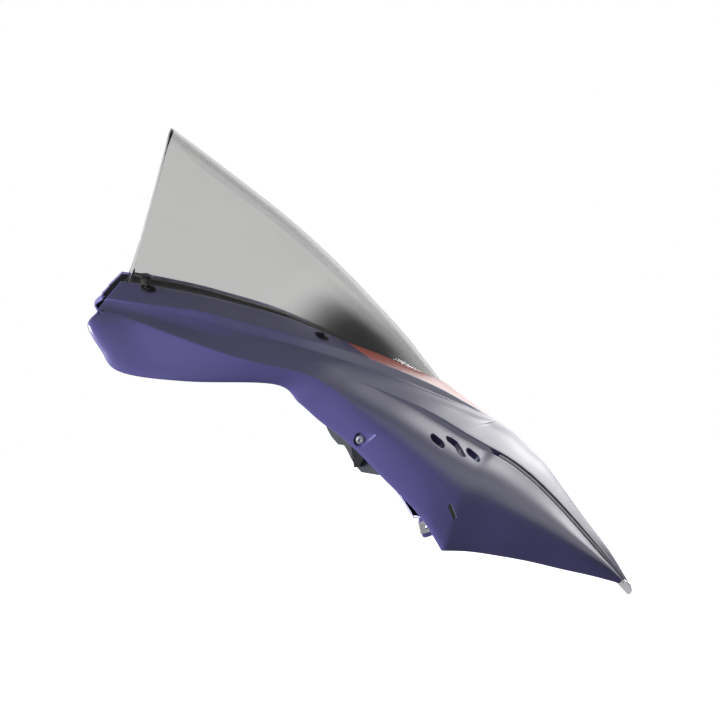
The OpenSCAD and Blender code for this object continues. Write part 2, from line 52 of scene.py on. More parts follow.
S2 = A([[-303, -190, 149], [-263, -192, 139], [-214, -187, 123], [-164, -181, 107], [-110, -171, 91], [-65, -158, 79],
        [-27, -144, 62], [12, -128, 45], [52, -114, 27], [82, -103, 11], [116, -90, -10], [145, -78, -27],
        [175, -65, -45], [204, -54, -68], [237, -40, -100], [272, -25, -138], [304, -12, -175], [326, -4, -202]])
CH = A([[-307, -198, 145], [-274, -207, 134], [-242, -208, 122], [-191, -205, 102], [-143, -197, 86], [-82, -180, 70],
        [-53, -172, 55], [-22, -166, 31], [12, -158, 7], [46, -150, -19], [80, -140, -42], [110, -128, -59],
        [142, -112, -76], [181, -93, -103], [222, -71, -128], [266, -46, -156], [298, -25, -180], [322, -7, -203]])
LO = A([[-309, -202, 142], [-318, -222, 129], [-304, -222, 101], [-284, -218, 77], [-215, -207, 65], [-115, -179, 58],
        [-86, -171, 36], [-63, -164, 15], [-30, -157, -11], [11, -148, -53], [54, -138, -98], [82, -126, -141],
        [117, -108, -146], [155, -90, -155], [195, -70, -166], [238, -48, -180], [281, -28, -193], [318, -9, -206]])
RIDGE = A([[-223, 0, 346], [-184, 0, 317], [-137, 0, 281], [-90, 0, 244], [-48, 0, 207], [-10, 0, 170], [24, 0, 134],
           [54, 0, 101], [76, 0, 73], [90, 0, 55]])
MIR = A([1, -1, 1])


def unit(v):
    n = np.linalg.norm(v)
    return v / n if n > 1e-9 else v


def sm(x, a, b):
    t = min(max((x - a) / (b - a), 0.0), 1.0)
    return t * t * (3 - 2 * t)


def herm(p, q, a, b, f):
    return (2 * f**3 - 3 * f * f + 1) * p + (f**3 - 2 * f * f + f) * a + (3 * f * f - 2 * f**3) * q + (f**3 - f * f) * b


def cr(k, u, lo, hi, sym=False):
    n = hi - lo
    t = min(max(u - lo, 0.0), n)
    i = min(int(math.floor(t)), n - 1)
    p, q = k[lo + i], k[lo + i + 1]
    a = k[lo + i - 1] if i > 0 else 2 * p - q
    b = k[lo + i + 2] if i + 2 <= n else (p * MIR if sym else 2 * q - p)
    return herm(p, q, (q - a) / 2, (b - p) / 2, t - i)


r0 = lambda u: cr(R0, u, 0, 10, True)
s1 = lambda u: cr(S1, u, 0, 10, True)
rt = lambda u: cr(T, u, 0, 10, True) if u <= 10 else cr(T, u, 10, 17)
rl = lambda u: cr(LO, u, 0, 11) if u <= 11 else cr(LO, u, 11, 17)
s2 = lambda u: cr(S2, u, 0, 17)
rc = lambda u: cr(CH, u, 0, 17)
tip = lambda u: 1 - 0.65 * sm(u, 15, 17)
ds = lambda u: unit(unit(s2(u) - rt(u)) + unit(rc(u) - s2(u)))
ns = lambda u: unit(np.cross(ds(u), s2(min(u + 0.05, 17)) - s2(max(u - 0.05, 0))))
chan = lambda u: sm(u, 11, 11.4) * tip(u)
band = lambda u: (1.5 + 6 * sm(u, 6, 9.5)) * tip(u)
drop = lambda u: STEP_H * sm(u, 6, 9.5) * tip(u)
lane = lambda u, f, d: s2(u) + ds(u) * f * band(u) - ns(u) * d
pan_lo = lambda u: lane(u, 1, drop(u) * (1 - 0.5 * sm(u, 11, 11.4)))
wall = lambda u: COWL_T * (1 - 0.6 * sm(u, 15, 17))

# spans of one column: coarse steps as in the CAD, fine interior steps here
NT, NM, NL = 5, 4, 4


def spans(u):
    """List of (function of t, coarse steps, fine interior steps, rounding radius at its start)."""
    t, s, c, l = rt(u), s2(u), rc(u), rl(u)
    dts, dsc, dcl = unit(s - t), unit(c - s), unit(l - c)
    k = sm(10 - u, 0, 5)
    d0 = unit((1 - k) * A([0, -1, 0]) + k * dts)
    w = sm(u, 5, 8)
    m = unit(dsc + dcl)
    ci, co = unit((1 - w) * dsc + w * m), unit((1 - w) * dcl + w * m)
    dr = drop(u)
    deep = dr + (CHANNEL_D - STEP_H) * chan(u)
    lo = pan_lo(u)
    e = unit(0.6 * unit(c - lo) + 0.4 * ds(u))
    nl = unit(np.cross(dcl, rl(min(u + 0.05, 17)) - rl(max(u - 0.05, 0))))
    a1 = lane(u, 0.2, dr * 0.3 + (deep - dr * 0.3) * chan(u))
    b1 = lane(u, 0.88, dr * 0.95 + (deep - dr * 0.95) * chan(u))
    l1 = l + (dcl * 1 - nl * 2) * tip(u)
    l2 = l - nl * LIP_IN * (1 - 0.8 * sm(u, 15, 17))
    lts, lc, lcl = np.linalg.norm(s - t), np.linalg.norm(c - lo), np.linalg.norm(l - c)
    lin = lambda p, q: (lambda f: p * (1 - f) + q * f)
    roll = lambda f: nl * 2.0 * tip(u) * min(1.0, lcl / 60) * (1 - math.exp(-(1 - f) * lcl / 3.0)) * (1 - sm((1 - f) * lcl, 10, 45))
    out = []
    if u <= 10 + 1e-9:
        a, b = r0(u), s1(u)
        out += [(lin(a, b), 2, 8, 0.0), (lin(b, t), 1, 3, 1.3)]
    g = tip(u)
    out += [
        (lambda f: herm(t, s, d0 * lts, ds(u) * lts, f), NT, 12, 1.6),
        (lin(s, a1), 1, 1, 0.7 * g),
        (lin(a1, b1), 1, 2, 0.7 * g),
        (lin(b1, lo), 1, 1, 0.7 * g),
        (lambda f: herm(lo, c, e * lc, ci * lc, f), NM, 12, 1.2 * g),
        (lambda f: herm(c, l, co * lcl, dcl * lcl, f) + roll(f), NL, 22, 2.6 * g),
        (lin(l, l1), 1, 2, 1.2 * g),
        (lin(l1, l2), 1, 2, 1.0 * g),
    ]
    return out


def fine_column(u):
    """Outer points of one column, and each point's place in coarse rows."""
    sp = spans(u)
    pts, q, corners = [], [], []
    base = 0
    for k, (f, nc, nf, r) in enumerate(sp):
        ln = sum(np.linalg.norm(f((i + 1) / 6) - f(i / 6)) for i in range(6))
        rs = min(r, 0.42 * ln) / max(ln, 1e-9)
        rn = sp[k + 1][3] if k + 1 < len(sp) else 0.0
        re = min(rn, 0.42 * ln) / max(ln, 1e-9)
        ts = [0.0]
        if r > 0:
            ts += [rs * 0.34, rs * 0.67, rs]
        lo_t, hi_t = ts[-1], 1 - re
        ts += [lo_t + (hi_t - lo_t) * (i + 1) / (nf + 1) for i in range(nf)]
        if k + 1 < len(sp):
            ts += [hi_t, 1 - re * 0.67, 1 - re * 0.34]
        start = len(pts)
        for t in ts:
            pts.append(f(t)); q.append(base + t * nc)
        if k > 0:
            corners.append(start)
        base += nc
    pts.append(sp[-1][0](1.0)); q.append(base)
    pts = np.array(pts)
    out = pts.copy()
    for c in corners:
        a, p, b = pts[c - 3], pts[c], pts[c + 3]
        for j in range(-3, 4):
            t = (j + 3) / 6
            out[c + j] = (1 - t) ** 2 * a + 2 * (1 - t) * t * p + t * t * b
    return out, pts, np.array(q)


def coarse_column(u):
    pts = []
    for f, nc, nf, r in spans(u):
        pts += [f(i / nc) for i in range(nc)]
    pts.append(spans(u)[-1][0](1.0))
    return np.array(pts)


PER = 10                                # columns a guide interval
US = [j + i / PER for j in range(17) for i in range(PER)] + [17.0]
NU, NC = len(US), 10 * PER


def cowl_mesh():
    cols, raw, qs, coarse = [], [], [], []
    for u in US:
        o, p, q = fine_column(u)
        cols.append(o); raw.append(p); qs.append(q); coarse.append(coarse_column(u))
    nfull, nshort = len(cols[0]), len(cols[-1])
    kf, ks = len(coarse[0]), len(coarse[-1])
    HF, HC = nfull - nshort, kf - ks     # fine and coarse rows of the strip
    def full(l, h):
        return [np.vstack([np.repeat(x[:1], h, 0), x]) if len(x) < max(map(len, l)) else x for x in l]
    cols, raw, coarse = full(cols, HF), full(raw, HF), full(coarse, HC)
    qs = [q if len(q) == nfull else np.concatenate([np.full(HF, HC), q + HC]) for q in qs]
    G = np.array(coarse)
    N = np.zeros_like(G)
    for c in range(NU):
        for r in range(kf):
            cen = c >= NC and r <= HC
            if cen and c == NC and r < HC: a = A([0, 1, 0])
            elif cen and c == NC: a = G[c + 1][HC] - G[c][HC - 1]
            else: a = G[min(c + 1, NU - 1)][r] - G[max(c - 1, 0)][r]
            b = A([0, -1, 0]) if (cen and r == HC) else G[c][min(r + 1, kf - 1)] - G[c][max(r - 1, 0)]
            N[c, r] = unit(np.cross(b, a))
    P = np.array(cols)
    I = np.zeros_like(P)
    for c in range(NU):
        for r in range(nfull):
            q = qs[c][r]; k = min(int(q), kf - 2); f = q - k
            I[c, r] = raw[c][r] - unit(N[c, k] * (1 - f) + N[c, k + 1] * f) * wall(US[c])
    return P, I, HF, qs


def mesh_from(name, verts, faces, mats=(), smooth_deg=32, merge=None):
    me = bpy.data.meshes.new(name)
    me.from_pydata([tuple(np.asarray(v) * MM) for v in verts], [], [tuple(f) for f in faces if len(f) > 2])
    me.validate(); me.update()
    o = bpy.data.objects.new(name, me)
    scene.collection.objects.link(o)
    for m in mats: me.materials.append(m)
    if merge:
        bm = bmesh.new(); bm.from_mesh(me)
        bmesh.ops.remove_doubles(bm, verts=bm.verts, dist=merge)
        bmesh.ops.dissolve_degenerate(bm, edges=bm.edges, dist=merge)
        bm.to_mesh(me); bm.free()
    shade(o, smooth_deg)
    return o


def shade(o, deg=32):
    me = o.data
    bm = bmesh.new(); bm.from_mesh(me)
    bmesh.ops.recalc_face_normals(bm, faces=bm.faces)
    lim = math.radians(deg)
    for f in bm.faces: f.smooth = True
    for e in bm.edges:
        if len(e.link_faces) == 2 and e.calc_face_angle(0) > lim: e.smooth = False
    bm.to_mesh(me); bm.free()


def shell(P, I, top, meta=None, nseg=4, bulge=0.5):
    """Whole mirrored shell from half grids. Rows under `top` exist only before column NC."""
    nc, nr = P.shape[:2]
    ids, verts, info = {}, [], []
    def vid(s, k, c, r):
        if c > NC and r < top: r = top
        if c >= NC and r <= top: s = 0
        key = (s, k, c, r)
        if key not in ids:
            p = (P if k == 0 else I)[c, r]
            ids[key] = len(verts); verts.append(p if s == 0 else p * MIR)
            info.append((US[c] if meta is not None else 0.0, meta[c][r] if meta is not None else 0.0, float(k)))
        return ids[key]
    faces, border = [], []
    for s in (0, 1):
        fl = (lambda f: f) if s == 0 else (lambda f: f[::-1])
        for c in range(nc - 1):
            for r in range(nr - 1):
                if r < top and c >= NC: continue
                faces.append(fl([vid(s, 0, c, r + 1), vid(s, 0, c + 1, r + 1), vid(s, 0, c + 1, r), vid(s, 0, c, r)]))
                faces.append(fl([vid(s, 1, c, r), vid(s, 1, c + 1, r), vid(s, 1, c + 1, r + 1), vid(s, 1, c, r + 1)]))
        for c in range(NC): border.append((s, (c, 0), (c + 1, 0), P[c, 0] - P[c, 1]))
        for r in range(nr - 1): border.append((s, (0, r + 1), (0, r), P[0, r] - P[1, r]))
        for c in range(nc - 1): border.append((s, (c + 1, nr - 1), (c, nr - 1), P[c, nr - 1] - P[c, nr - 2]))
        for r in range(top, nr - 1): border.append((s, (nc - 1, r), (nc - 1, r + 1), P[nc - 1, r] - P[nc - 2, r]))
    dirs = {}
    for s, a, b, e in border:
        e = unit(e) if s == 0 else unit(e) * MIR
        for x in (a, b):
            k = vid(s, 0, *x); dirs.setdefault(k, [np.zeros(3), vid(s, 1, *x)]); dirs[k][0] = dirs[k][0] + e
    strip = {}
    for k, (e, ki) in dirs.items():
        po, pi = verts[k], verts[ki]
        mid, h = (po + pi) / 2, (po - pi) / 2
        e = unit(e); e = unit(e - unit(h) * (e @ unit(h))); rr = np.linalg.norm(h) * 2 * bulge
        row = [k]
        for j in range(1, nseg):
            t = math.pi * j / nseg
            row.append(len(verts)); verts.append(mid + h * math.cos(t) + e * rr * math.sin(t))
            info.append(info[k])
        row.append(ki); strip[k] = row
    for s, a, b, e in border:
        ra, rb = strip[vid(s, 0, *a)], strip[vid(s, 0, *b)]
        for j in range(nseg):
            f = [ra[j], rb[j], rb[j + 1], ra[j + 1]]
            faces.append(f if s == 0 else f[::-1])
    return verts, [list(dict.fromkeys(f)) for f in faces], info


# ------------------------------------------------------------------ local frames, prisms, lathes, booleans
class Spot:
    """A local frame: z along n, x along d."""
    def __init__(self, p, n, d):
        n, d = A(n), A(d)
        self.p = A(p); self.z = unit(n); self.x = unit(d - self.z * (d @ self.z)); self.y = np.cross(self.z, self.x)
    def __call__(self, v):
        return self.p + self.x * v[0] + self.y * v[1] + self.z * v[2]


def two(make):
    """Right piece and its mirror image as one list of verts and faces."""
    v, f = make
    n = len(v)
    return list(v) + [A(p) * MIR for p in v], [list(x) for x in f] + [[i + n for i in x][::-1] for x in f]


def join(*parts):
    V, F = [], []
    for v, f in parts:
        n = len(V); V += list(v); F += [[i + n for i in x] for x in f]
    return V, F


def prism(spot, poly, z0, z1):
    """Extruded outline."""
    n = len(poly)
    v = [spot((p[0], p[1], z)) for z in (z0, z1) for p in poly]
    f = [list(range(n))[::-1], list(range(n, 2 * n))] + [[i, (i + 1) % n, n + (i + 1) % n, n + i] for i in range(n)]
    return v, f


def rprism(spot, poly, z0, z1, r=0.5):
    """Extruded outline with rounded rims: rings shrunk at both ends."""
    zs = [(z0, r), (z0 + r * 0.3, r * 0.3), (z0 + r, 0), (z1 - r, 0), (z1 - r * 0.3, r * 0.3), (z1, r)]
    n = len(poly); v, f = [], []
    for z, s in zs:
        v += [spot((p[0], p[1], z)) for p in (grow(poly, -s) if s else poly)]
    for k in range(len(zs) - 1):
        for i in range(n):
            f.append([k * n + i, k * n + (i + 1) % n, (k + 1) * n + (i + 1) % n, (k + 1) * n + i])
    f += [list(range(n))[::-1], list(range((len(zs) - 1) * n, len(zs) * n))]
    return v, f


def loft(spot, rings):
    """Closed stack of outlines with the same number of points."""
    n = len(rings[0][0]); v, f = [], []
    for poly, z in rings: v += [spot((q[0], q[1], z)) for q in poly]
    for k in range(len(rings) - 1):
        for i in range(n): f.append([k * n + i, k * n + (i + 1) % n, (k + 1) * n + (i + 1) % n, (k + 1) * n + i])
    return v, f + [list(range(n))[::-1], list(range((len(rings) - 1) * n, len(rings) * n))]


def mouth(spot, poly, depth, up=8, flare=0.8):
    """Cutter of an opening whose rim is eased."""
    return loft(spot, [(poly, -depth), (poly, -1.2), (grow(poly, flare * 0.35), 0), (grow(poly, flare), 1.4), (grow(poly, flare), up)])


def grow(poly, g):
    p = [A(q) for q in poly]; n = len(p); out = []
    for i in range(n):
        a, b = unit(p[i] - p[i - 1]), unit(p[(i + 1) % n] - p[i])
        m = A([a[1] + b[1], -a[0] - b[0]]); m = m / max(1e-6, (m @ m) / 2)
        out.append(p[i] + m * g)
    return out


def roundpoly(poly, r, n=6):
    """Outline with its corners rounded."""
    p = [A(q) for q in poly]; m = len(p); out = []
    for i in range(m):
        a, b, c = p[i - 1], p[i], p[(i + 1) % m]
        la, lc = np.linalg.norm(a - b), np.linalg.norm(c - b)
        k = min(r, la * 0.45, lc * 0.45)
        s, e = b + unit(a - b) * k, b + unit(c - b) * k
        out += [(1 - t) ** 2 * s + 2 * (1 - t) * t * b + t * t * e for t in [j / n for j in range(n + 1)]]
    return out


def arc(x, y, r, a, b, n):
    return [(x + r * math.cos(math.radians(a + (b - a) * i / n)), y + r * math.sin(math.radians(a + (b - a) * i / n))) for i in range(n + 1)]


def oval(l, w):
    return arc((l - w) / 2, 0, w / 2, -90, 90, 20) + arc((w - l) / 2, 0, w / 2, 90, 270, 20)


def ring(spot, prof, n=48, cap=(True, True)):
    """Stack of rings (radius, height, shape): shape 0 is a circle, 1 a hexagon with that inner radius."""
    v, f, rows = [], [], []
    for r, z, kind in prof:
        if r < 1e-6:
            rows.append([len(v)]); v.append(spot((0, 0, z))); continue
        row = []
        for i in range(n):
            t = 2 * math.pi * i / n
            k = 1 / math.cos(((t + math.pi / 6) % (math.pi / 3)) - math.pi / 6) if kind else 1.0
            row.append(len(v)); v.append(spot((r * k * math.cos(t), r * k * math.sin(t), z)))
        rows.append(row)
    for a, b in zip(rows[:-1], rows[1:]):
        for i in range(n):
            j = (i + 1) % n
            if len(a) == 1 and len(b) == 1: continue
            if len(a) == 1: f.append([a[0], b[j], b[i]])
            elif len(b) == 1: f.append([a[i], a[j], b[0]])
            else: f.append([a[i], a[j], b[j], b[i]])
    return v, f


def tube(spot, prof, n=48):
    """Closed ring of a profile that doesn't touch the axis."""
    v, f = ring(spot, list(prof) + [prof[0]], n)
    m = len(prof)
    return v[: m * n], [[(i if i < m * n else i - m * n) for i in x] for x in f]


def thread(r, z0, z1, pitch, depth=0.35):
    """Rings of a thread, cut as fine grooves."""
    n = int((z1 - z0) / pitch); out = []
    for i in range(n):
        z = z0 + (z1 - z0) * i / n; p = (z1 - z0) / n
        out += [(r - depth, z, 0), (r, z + p * 0.45, 0), (r, z + p * 0.55, 0)]
    return out + [(r - depth, z1, 0)]


def cut(o, parts, op="DIFFERENCE"):
    v, f = parts
    c = mesh_from("tmp_cut", v, f)
    m = o.modifiers.new("b", "BOOLEAN"); m.operation = op; m.object = c
    try: m.solver = "MANIFOLD"
    except TypeError: m.solver = "EXACT"
    dg = bpy.context.evaluated_depsgraph_get()
    me = bpy.data.meshes.new_from_object(o.evaluated_get(dg))
    n = len(me.polygons)
    if n < 50:
        m.solver = "EXACT"
        dg = bpy.context.evaluated_depsgraph_get()
        me = bpy.data.meshes.new_from_object(o.evaluated_get(dg))
    o.modifiers.remove(m)
    old = o.data; o.data = me
    bpy.data.meshes.remove(old)
    bpy.data.objects.remove(c)
    return n


# ------------------------------------------------------------------ materials
def nodes_of(name):
    m = bpy.data.materials.new(name); m.use_nodes = True
    return m, m.node_tree, m.node_tree.nodes["Principled BSDF"]


def put(nt, kind, **kw):
    n = nt.nodes.new(kind)
    for k, v in kw.items():
        if k.startswith("i_"): n.inputs[k[2:].replace("_", " ")].default_value = v
        else: setattr(n, k, v)
    return n


def math_(nt, op, a, b=None, clamp=False):
    n = nt.nodes.new("ShaderNodeMath"); n.operation = op; n.use_clamp = clamp
    for i, x in enumerate((a, b)):
        if x is None: continue
        if isinstance(x, (int, float)): n.inputs[i].default_value = x
        else: nt.links.new(x, n.inputs[i])
    return n.outputs[0]


def mix(nt, f, a, b):
    n = nt.nodes.new("ShaderNodeMix"); n.data_type = "RGBA"
    for k, x in (("Factor", f), ("A", a), ("B", b)):
        i = [s for s in n.inputs if s.name == k and (s.type == "RGBA" or k == "Factor")][0]
        if isinstance(x, (int, float)): i.default_value = x
        elif isinstance(x, tuple): i.default_value = (*x, 1)
        else: nt.links.new(x, i)
    return [s for s in n.outputs if s.type == "RGBA"][0]


def noise(nt, scale, detail=3.0, rough=0.5):
    tc = nt.nodes.get("tc") or nt.nodes.new("ShaderNodeTexCoord"); tc.name = "tc"
    n = put(nt, "ShaderNodeTexNoise", i_Scale=scale, i_Detail=detail, i_Roughness=rough)
    nt.links.new(tc.outputs["Object"], n.inputs["Vector"])
    return n.outputs["Fac"]


def ramp(nt, fac, lo, hi, a=0.35, b=0.65):
    """Value between lo and hi as fac runs from a to b."""
    n = put(nt, "ShaderNodeMapRange", i_From_Min=a, i_From_Max=b, i_To_Min=lo, i_To_Max=hi)
    nt.links.new(fac, n.inputs["Value"])
    return n.outputs["Result"]


def surface(name, col, col2=None, rough=(0.35, 0.45), metal=0.0, vscale=40, bump=(900, 0.05, 0.0002), coat=0.0, coat_rough=0.1,
            spec=0.5, edge=None, ior=1.5):
    m, nt, p = nodes_of(name)
    v = noise(nt, vscale)
    c2 = col2 or tuple(x * 0.82 for x in col)
    c = mix(nt, ramp(nt, v, 0.0, 1.0), col, c2)
    if edge:
        g = nt.nodes.new("ShaderNodeNewGeometry")
        w = ramp(nt, g.outputs["Pointiness"], 0.0, 1.0, 0.53, 0.6)
        w = math_(nt, "MULTIPLY", w, ramp(nt, noise(nt, 300), 0.2, 1.0))
        c = mix(nt, w, c, edge)
    nt.links.new(c, p.inputs["Base Color"])
    nt.links.new(ramp(nt, noise(nt, vscale * 3), *rough), p.inputs["Roughness"])
    p.inputs["Metallic"].default_value = metal
    p.inputs["Coat Weight"].default_value = coat
    p.inputs["Coat Roughness"].default_value = coat_rough
    p.inputs["Specular IOR Level"].default_value = spec
    p.inputs["IOR"].default_value = ior
    b = put(nt, "ShaderNodeBump", i_Strength=bump[1], i_Distance=bump[2])
    nt.links.new(noise(nt, bump[0], 2.0), b.inputs["Height"])
    nt.links.new(b.outputs["Normal"], p.inputs["Normal"])
    return m


def lin(r, g, b):
    f = lambda x: ((x / 255 + 0.055) / 1.055) ** 2.4 if x > 10 else x / 255 / 12.92
    return (f(r), f(g), f(b))


def cowl_material():
    m, nt, p = nodes_of("cowl_paint")
    at = put(nt, "ShaderNodeAttribute", attribute_name="grid")
    sp = nt.nodes.new("ShaderNodeSeparateXYZ"); nt.links.new(at.outputs["Vector"], sp.inputs[0])
    u, q, k = sp.outputs[0], sp.outputs[1], sp.outputs[2]
    # painted stripe on the strip beside the screen: from a slanted end to the apex
    d = math_(nt, "SUBTRACT", u, math_(nt, "ADD", math_(nt, "MULTIPLY", q, 0.17), 5.9))
    on_ = math_(nt, "MULTIPLY", d, 60.0, True)
    on_ = math_(nt, "MULTIPLY", on_, math_(nt, "MULTIPLY", math_(nt, "SUBTRACT", 1.86, q), 40.0, True))
    on_ = math_(nt, "MULTIPLY", on_, math_(nt, "MULTIPLY", math_(nt, "SUBTRACT", 10.6, u), 40.0, True))
    v = noise(nt, 2600, 1.0)
    body = mix(nt, ramp(nt, v, 0.0, 1.0), (0.090, 0.079, 0.270), (0.079, 0.069, 0.240))
    c = mix(nt, on_, body, lin(250, 112, 96))
    nt.links.new(c, p.inputs["Base Color"])
    r = ramp(nt, noise(nt, 30), 0.38, 0.43)
    nt.links.new(r, p.inputs["Roughness"])
    p.inputs["Coat Weight"].default_value = 1.0
    p.inputs["Coat Roughness"].default_value = 0.36
    p.inputs["Coat IOR"].default_value = 2.0
    p.inputs["IOR"].default_value = 1.6
    p.inputs["Specular IOR Level"].default_value = 0.6
    b = put(nt, "ShaderNodeBump", i_Strength=0.04, i_Distance=0.0002)
    nt.links.new(noise(nt, 1800, 2.0), b.inputs["Height"])
    nt.links.new(b.outputs["Normal"], p.inputs["Normal"])
    return m


def glass(name, tint, rough=0.02, ior=1.49, var=0.03):
    m, nt, p = nodes_of(name)
    v = noise(nt, 9)
    nt.links.new(mix(nt, ramp(nt, v, 0.0, 1.0), tint, tuple(x * (1 - var) for x in tint)), p.inputs["Base Color"])
    nt.links.new(ramp(nt, noise(nt, 60), rough, rough * 1.6), p.inputs["Roughness"])
    p.inputs["Transmission Weight"].default_value = 1.0
    p.inputs["IOR"].default_value = ior
    return m


M_COWL = cowl_material()
M_SCREEN = glass("smoked_acrylic", (0.86, 0.86, 0.855), 0.003)


def painted_front_shade(m):
    """The sheet's base colour is painted darker towards its lower front end, away from the ridge: painted shade for the
    dark interior seen through the sheet there.
    """
    nt = m.node_tree; p = nt.nodes["Principled BSDF"]
    old = p.inputs["Base Color"].links[0].from_socket
    tc = nt.nodes.get("tc")
    sp = nt.nodes.new("ShaderNodeSeparateXYZ"); nt.links.new(tc.outputs["Object"], sp.inputs[0])
    d = math_(nt, "SUBTRACT", sp.outputs[0], sp.outputs[2])
    n = put(nt, "ShaderNodeMapRange", interpolation_type="SMOOTHSTEP", i_From_Min=-0.23, i_From_Max=-0.11, i_To_Min=0.0, i_To_Max=1.0)
    nt.links.new(d, n.inputs["Value"])
    s = put(nt, "ShaderNodeMapRange", interpolation_type="SMOOTHSTEP", i_From_Min=0.0485, i_From_Max=0.056, i_To_Min=0.0, i_To_Max=0.66)
    s2 = put(nt, "ShaderNodeMapRange", interpolation_type="SMOOTHSTEP", i_From_Min=0.037, i_From_Max=0.047, i_To_Min=0.0, i_To_Max=0.34)
    off = math_(nt, "ADD", math_(nt, "ABSOLUTE", sp.outputs[1]), math_(nt, "MULTIPLY", sp.outputs[0], 0.33))
    nt.links.new(off, s.inputs["Value"]); nt.links.new(off, s2.inputs["Value"])
    w = math_(nt, "MULTIPLY", n.outputs["Result"], math_(nt, "ADD", s.outputs["Result"], s2.outputs["Result"]))
    # painted shade: the base colour is mixed towards near-black over that front wedge
    nt.links.new(mix(nt, w, old, (0.03, 0.03, 0.032)), p.inputs["Base Color"])


# paint shade into the windscreen's lower front
painted_front_shade(M_SCREEN)
M_LENS = glass("lens_acrylic", (0.92, 0.92, 0.95), 0.2)
M_LENS.node_tree.nodes["Principled BSDF"].inputs["Transmission Weight"].default_value = 0.15
M_RAW = surface("bare_plastic", (0.009, 0.009, 0.011), (0.013, 0.013, 0.015), (0.6, 0.75), bump=(1500, 0.2, 0.0002), spec=0.12)
M_CLIP = surface("zinc_clip", (0.55, 0.55, 0.57), (0.46, 0.46, 0.48), (0.4, 0.5), 0.25, bump=(1200, 0.06, 0.0001), edge=(0.8, 0.8, 0.82))
M_FOAM = surface("foam", (0.012, 0.012, 0.014), (0.02, 0.02, 0.022), (0.85, 0.95), bump=(1400, 0.6, 0.0006), spec=0.2)
M_BLACK = surface("black_oxide", (0.014, 0.014, 0.016), (0.02, 0.02, 0.022), (0.28, 0.4), 0.6, bump=(1500, 0.08, 0.0001), edge=(0.16, 0.16, 0.17))
M_PLAST = surface("black_nylon", (0.012, 0.012, 0.013), (0.018, 0.018, 0.02), (0.4, 0.5), bump=(1600, 0.15, 0.0001))
M_RUB = surface("rubber", (0.014, 0.014, 0.014), (0.022, 0.022, 0.022), (0.6, 0.75), bump=(700, 0.2, 0.0003), spec=0.3)
M_BRASS = surface("brass", (0.55, 0.38, 0.13), (0.45, 0.31, 0.11), (0.25, 0.4), 1.0, bump=(800, 0.05, 0.0001))
M_STEEL = surface("zinc_steel", (0.62, 0.63, 0.65), (0.5, 0.51, 0.53), (0.18, 0.3), 1.0, bump=(1200, 0.06, 0.0001), edge=(0.8, 0.8, 0.82))
M_BOLT = surface("bolt_steel", (0.36, 0.36, 0.44), (0.30, 0.30, 0.38), (0.38, 0.5), 0.4, bump=(1200, 0.06, 0.0001), edge=(0.5, 0.5, 0.56))
M_STAY = surface("stay_powder_coat", (0.02, 0.02, 0.022), (0.028, 0.028, 0.03), (0.42, 0.55), bump=(1500, 0.35, 0.0002), edge=(0.05, 0.05, 0.055))
M_TRAY = surface("tray_plastic", (0.09, 0.095, 0.115), (0.075, 0.08, 0.1), (0.45, 0.6), bump=(2200, 0.3, 0.0002))


def done(o, node):
    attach(o, "root"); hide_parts(node)
    return o


# ------------------------------------------------------------------ cowl
P, I, TOP, QS = cowl_mesh()
v, f, info = shell(P, I, TOP, QS)
cowl = mesh_from("cowl_body", v, f, [M_COWL, M_RAW])
at = cowl.data.attributes.new("grid", "FLOAT_VECTOR", "POINT")
if len(cowl.data.vertices) == len(info):
    at.data.foreach_set("vector", np.array(info, float).ravel())
    for pg in cowl.data.polygons:           # the inside is bare plastic
        if all(info[i][2] > 0.5 for i in pg.vertices):
            pg.material_index = 1

MIRROR_N, MIRROR_D, OVAL_D = [0.57, -0.585, 0.577], [48, 29, -18.5], [0.76, 0.115, -0.64]
AT_A, AT_S, AT_B = Spot([76, -127.7, -13], MIRROR_N, OVAL_D), Spot([100, -113.5, -22.5], MIRROR_N, MIRROR_D), Spot([121.5, -103, -33], MIRROR_N, OVAL_D)
AT_SIDE = Spot([-17.5, -157.7, -8], [-0.03, -0.963, -0.268], [1, 0, 0])
AT_SLOT = Spot([92, -132.5, -95], [0.186, -0.963, -0.197], [0.42, 0, -0.9])
TAB = ([66, -133, -113], [0.194, -0.969, -0.156])
AT_TAB, AT_CLIP = Spot(*TAB, [1, 0, 0]), Spot(*TAB, [0.25, 0, -0.97])
ZIG = [[-14, 8], [-13.5, 11.5], [-11, 13], [-3, 12.5], [5, 9], [9, 2], [13, -9], [11, -10.5], [5, -12], [0, -10], [-2, -2], [-7, 2], [-13, 5]]
ZIG = ZIG if sum(ZIG[i - 1][0] * ZIG[i][1] - ZIG[i][0] * ZIG[i - 1][1] for i in range(len(ZIG))) > 0 else ZIG[::-1]
ZIGR = roundpoly(ZIG, 1.6, 4)
on_strip = lambda u, w: r0(u) * (1 - w) + s1(u) * w
def strip_n2(u, w):
    return unit(np.cross(s1(u) - r0(u), on_strip(u + 0.1, w) - on_strip(u - 0.1, w)))
SCREWS = []
for u_, w_ in ((0.95, 0.2), (4.95, 0.475)):
    n_ = strip_n2(u_, w_)
    SCREWS.append(Spot(on_strip(u_, w_) + n_ * 0.25, n_, [1, 0, 0]))

